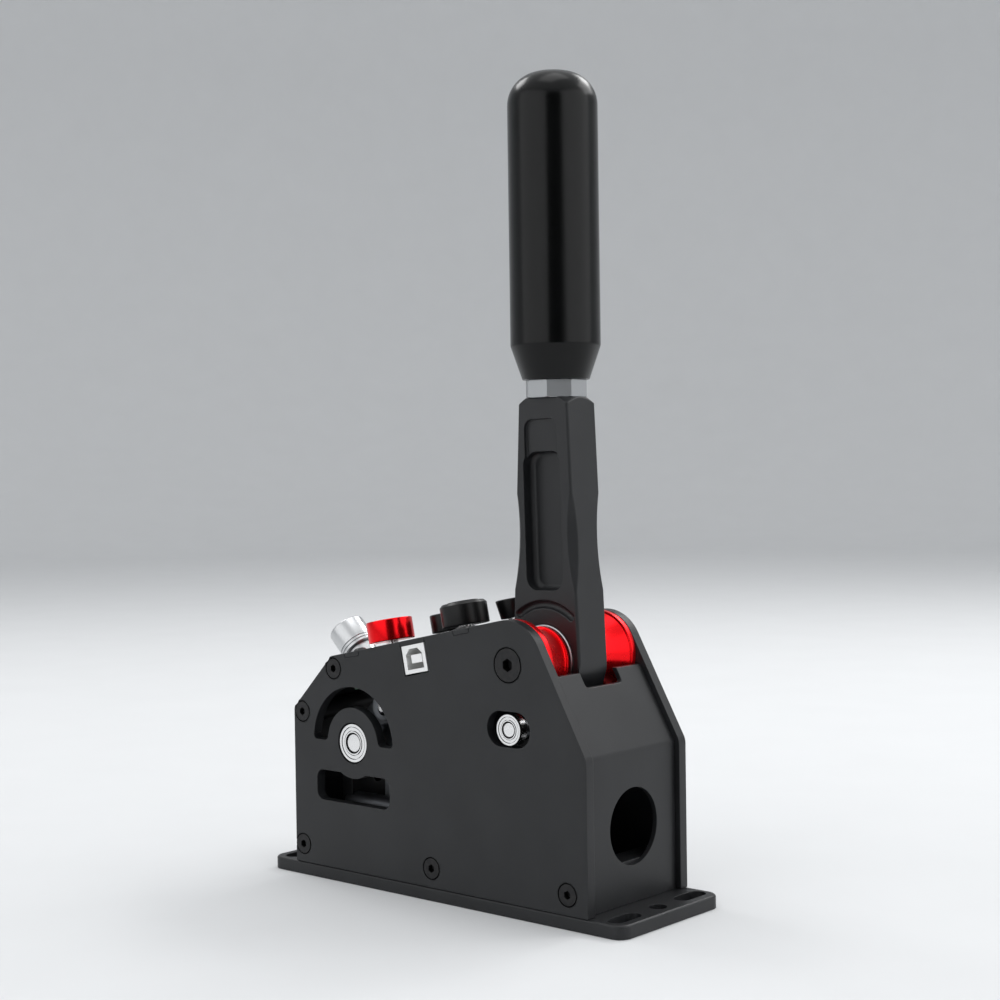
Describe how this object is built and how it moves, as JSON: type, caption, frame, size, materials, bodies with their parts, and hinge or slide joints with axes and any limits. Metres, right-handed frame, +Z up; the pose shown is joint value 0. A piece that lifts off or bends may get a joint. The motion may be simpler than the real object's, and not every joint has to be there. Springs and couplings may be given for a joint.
{
  "type": "sim racing gear shifter",
  "caption": "Upright lever with a cylindrical grip on a bolt-down black housing; side plates carry the pivot, a centring linkage, turn knobs and a pull knob.",
  "frame": {"origin": "centre of the underside of the base plate", "axes": "+X from the rear towards the lever, +Y across to the side without the socket, +Z up"},
  "size_m": [0.18, 0.06, 0.3088],
  "materials": {
    "anodised_black": "fine bead-blasted and anodised, satin",
    "anodised_dark": "milled and anodised, satin",
    "oxide_steel": "black oxide, slightly oily",
    "bright_steel": "ground",
    "grey_steel": "turned",
    "spring_steel": "drawn wire",
    "red_anodised": "turned, polished and anodised red",
    "silver_aluminium": "turned, clear anodised",
    "grip_black": "smooth, semi-gloss",
    "knob_black": "turned and anodised black",
    "bronze": "sintered bearing bronze",
    "board_green": "solder mask",
    "tongue_white": "moulded",
    "encoder_grey": "pressed sheet",
    "friction_brown": "pressed friction lining"
  },
  "bodies": {
    "housing": {"base_plate": "anodised_black", "right_side_plate": "anodised_black", "left_side_plate": "anodised_black", "top_cover": "anodised_black", "front_panel": "anodised_black", "rear_panel": "anodised_black", "front_block": "anodised_dark", "middle_block": "anodised_dark", "rear_block": "anodised_dark", "tie_bars": "anodised_dark", "side_screws": "oxide_steel", "pivot_screws": "oxide_steel", "base_screws": "oxide_steel", "cover_screws": "oxide_steel", "rear_screws": "oxide_steel", "pivot_shaft": "bright_steel", "lever_hubs": "red_anodised", "rear_bearings": "bright_steel", "rear_post": "anodised_dark", "guide_rods": "bright_steel", "rod_bush": "bronze", "main_board": "board_green", "usb_socket": "bright_steel", "usb_tongue": "tongue_white", "board_posts": "bronze", "encoders": "encoder_grey", "adjuster_guide": "anodised_dark", "plunger_sleeve": "silver_aluminium", "plunger_nut": "grey_steel", "front_spring": "spring_steel", "rear_spring": "spring_steel"},
    "lever": {"lever_arm": "anodised_black", "lever_bearings": "bright_steel", "grip_stud": "bright_steel", "lock_nut": "bright_steel", "grip": "grip_black", "cross_pin": "bright_steel", "pin_spacers": "grey_steel", "guide_rollers": "bright_steel"},
    "links": {"link_bars": "grey_steel"},
    "rocker": {"rocker": "grey_steel", "rocker_shaft": "bright_steel", "link_pin": "bright_steel", "shaft_spacers": "grey_steel"},
    "rod": {"centring_rod": "bright_steel", "drive_pin": "bright_steel", "spring_collars": "grey_steel"},
    "red_knob": {"red_knob": "red_anodised", "adjuster_spindle": "bright_steel"},
    "friction_slider": {"friction_slider": "bronze", "friction_pad": "friction_brown"},
    "black_knob": {"black_knob": "knob_black", "black_knob_shaft": "bright_steel"},
    "rear_knob": {"rear_knob": "knob_black", "rear_knob_shaft": "bright_steel"},
    "flared_knob": {"flared_knob": "knob_black", "flared_knob_shaft": "bright_steel"},
    "silver_knob": {"silver_knob": "silver_aluminium", "plunger_pin": "bright_steel"}
  },
  "joints": [
    {"name": "lever_pivot", "type": "hinge", "parent": "housing", "child": "lever", "pos_m": [0.0394, 0, 0.0915], "axis": [0, 1, 0], "range_deg": [-9.5, 9.5], "stiffness_Nm_per_rad": 40},
    {"name": "link_hinge", "type": "hinge", "parent": "lever", "child": "links", "pos_m": [0.0394, 0, 0.0681], "axis": [0, 1, 0], "range_deg": [-9.6, 9.6]},
    {"name": "rocker_hinge", "type": "hinge", "parent": "housing", "child": "rocker", "pos_m": [-0.0416, 0, 0.0556], "axis": [0, 1, 0], "range_deg": [-18.1, 18.1]},
    {"name": "rod_slide", "type": "slide", "parent": "housing", "child": "rod", "axis": [1, 0, 0], "range_m": [-0.0099, 0.0099], "deforming": ["front_spring", "rear_spring"]},
    {"name": "red_knob_turn", "type": "hinge", "parent": "housing", "child": "red_knob", "pos_m": [-0.04418, -0.004, 0.09098], "axis": [0.2011, 0, -0.9796], "range_deg": [0, 720]},
    {"name": "friction_slide", "type": "slide", "parent": "housing", "child": "friction_slider", "axis": [0.2011, 0, -0.9796], "range_m": [0, 0.0016]},
    {"name": "black_knob_turn", "type": "hinge", "parent": "housing", "child": "black_knob", "pos_m": [-0.00343, -0.004, 0.09935], "axis": [0.2011, 0, -0.9796], "range_deg": [-150, 150]},
    {"name": "rear_knob_turn", "type": "hinge", "parent": "housing", "child": "rear_knob", "pos_m": [-0.02743, 0.012, 0.09442], "axis": [0.2011, 0, -0.9796], "range_deg": [-150, 150]},
    {"name": "flared_knob_turn", "type": "hinge", "parent": "housing", "child": "flared_knob", "pos_m": [0.00813, 0.012, 0.10172], "axis": [0.2011, 0, -0.9796], "range_deg": [-150, 150]},
    {"name": "silver_knob_pull", "type": "slide", "parent": "housing", "child": "silver_knob", "axis": [-0.7071, 0, 0.7071], "range_m": [0, 0.005], "stiffness_N_per_m": 600}
  ],
  "couplings": [
    {"joint": "link_hinge", "follows": "lever_pivot", "ratio": -1},
    {"joint": "rocker_hinge", "follows": "lever_pivot", "ratio": -1.8952},
    {"joint": "rod_slide", "follows": "lever_pivot", "m_per_rad": 0.05959},
    {"joint": "red_knob_turn", "follows": "friction_slide", "rad_per_m": 7854}
  ]
}
